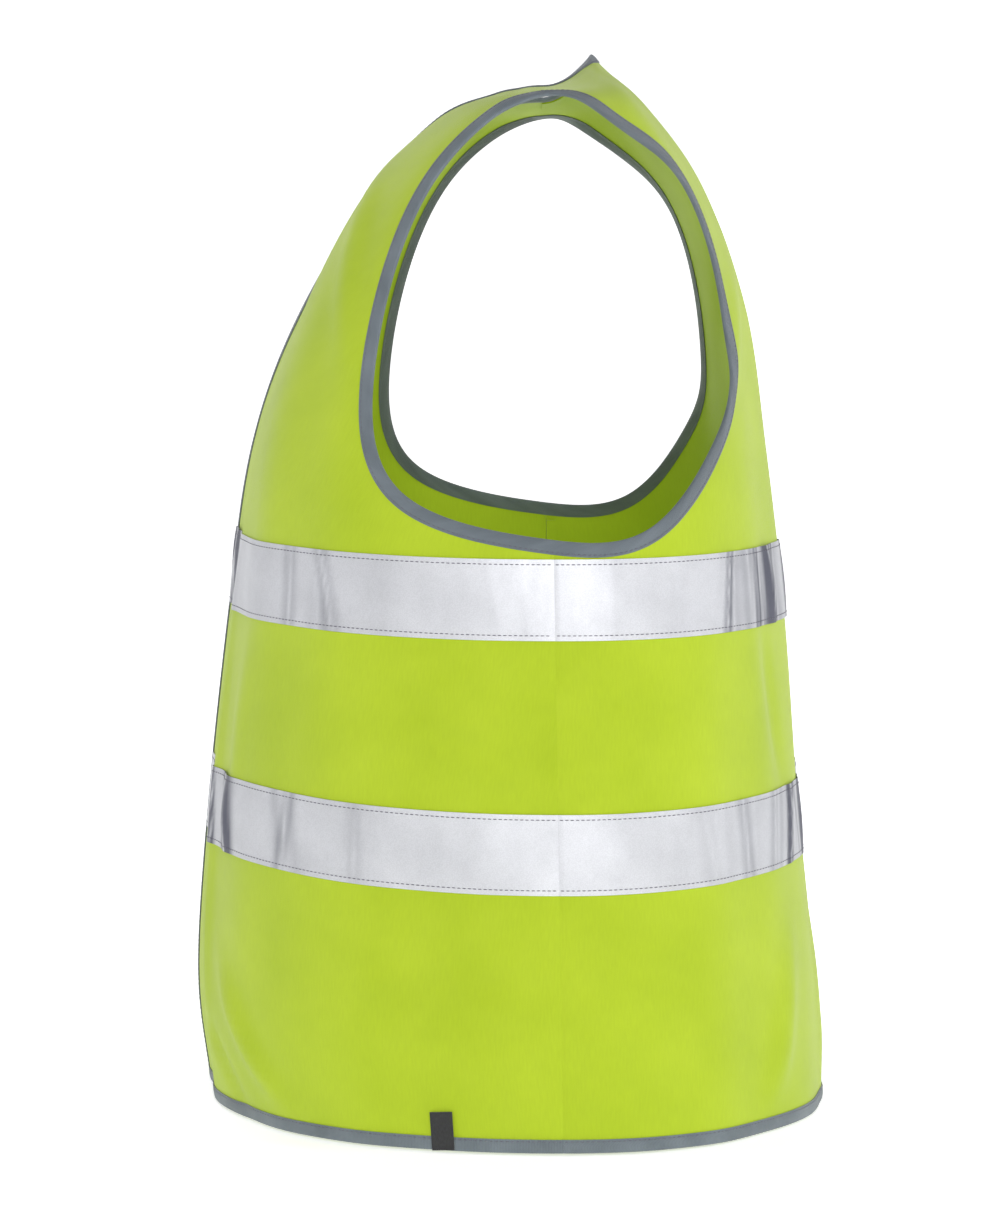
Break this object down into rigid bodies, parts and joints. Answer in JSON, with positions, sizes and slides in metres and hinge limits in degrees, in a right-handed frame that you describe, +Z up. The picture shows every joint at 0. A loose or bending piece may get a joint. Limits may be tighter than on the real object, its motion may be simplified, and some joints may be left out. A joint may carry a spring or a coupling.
{
  "type": "high visibility vest",
  "caption": "Sleeveless high visibility vest with a V neck, bound edges, two level reflective bands and an overlapping hook-and-loop front.",
  "frame": {"origin": "centre of the footprint, on the plane of the hem", "axes": "+Z up from hem to neck, +Y towards the wearer's back, +X towards the wearer's left"},
  "size_m": [0.4738, 0.418, 0.6869],
  "materials": {
    "cloth": "fluorescent yellow-green polyester knit",
    "binding": "ribbed slate grey edge binding",
    "reflective": "silver retroreflective tape",
    "flag": "black woven label",
    "label": "white satin label",
    "hook": "hook tape",
    "loop": "loop tape"
  },
  "bodies": {
    "shell": {"back_panel": "cloth", "back_hem_binding": "binding", "back_neck_binding": "binding", "back_upper_band": "reflective", "back_lower_band": "reflective", "left_back_armhole_binding": "binding", "left_front_side": "cloth", "left_front_armhole_binding": "binding", "left_neck_binding": "binding", "left_side_hem_binding": "binding", "left_side_upper_band": "reflective", "left_side_lower_band": "reflective", "left_side_seam": "cloth", "left_shoulder_seam": "cloth", "right_back_armhole_binding": "binding", "right_front_side": "cloth", "right_front_armhole_binding": "binding", "right_neck_binding": "binding", "right_side_hem_binding": "binding", "right_side_upper_band": "reflective", "right_side_lower_band": "reflective", "right_side_seam": "cloth", "right_shoulder_seam": "cloth", "flag_label": "flag", "size_label": "label", "care_label": "label"},
    "left_front": {"left_front_flap": "cloth", "left_flap_hem_binding": "binding", "left_front_edge_binding": "binding", "left_flap_upper_band": "reflective", "left_flap_lower_band": "reflective", "hook_tape": "hook"},
    "right_front": {"right_front_flap": "cloth", "right_flap_hem_binding": "binding", "right_front_edge_binding": "binding", "right_flap_upper_band": "reflective", "right_flap_lower_band": "reflective", "loop_tape": "loop"}
  },
  "joints": [
    {"name": "left_front_swing", "type": "hinge", "parent": "shell", "child": "left_front", "pos_m": [0.13, -0.202, 0], "axis": [-0.2037, 0.0499, 0.9778], "range_deg": [0, 110]},
    {"name": "right_front_swing", "type": "hinge", "parent": "shell", "child": "right_front", "pos_m": [-0.13, -0.202, 0], "axis": [0.2037, 0.0499, 0.9778], "range_deg": [-33, 0]}
  ],
  "couplings": [
    {"joint": "right_front_swing", "follows": "left_front_swing", "ratio": -0.3}
  ]
}
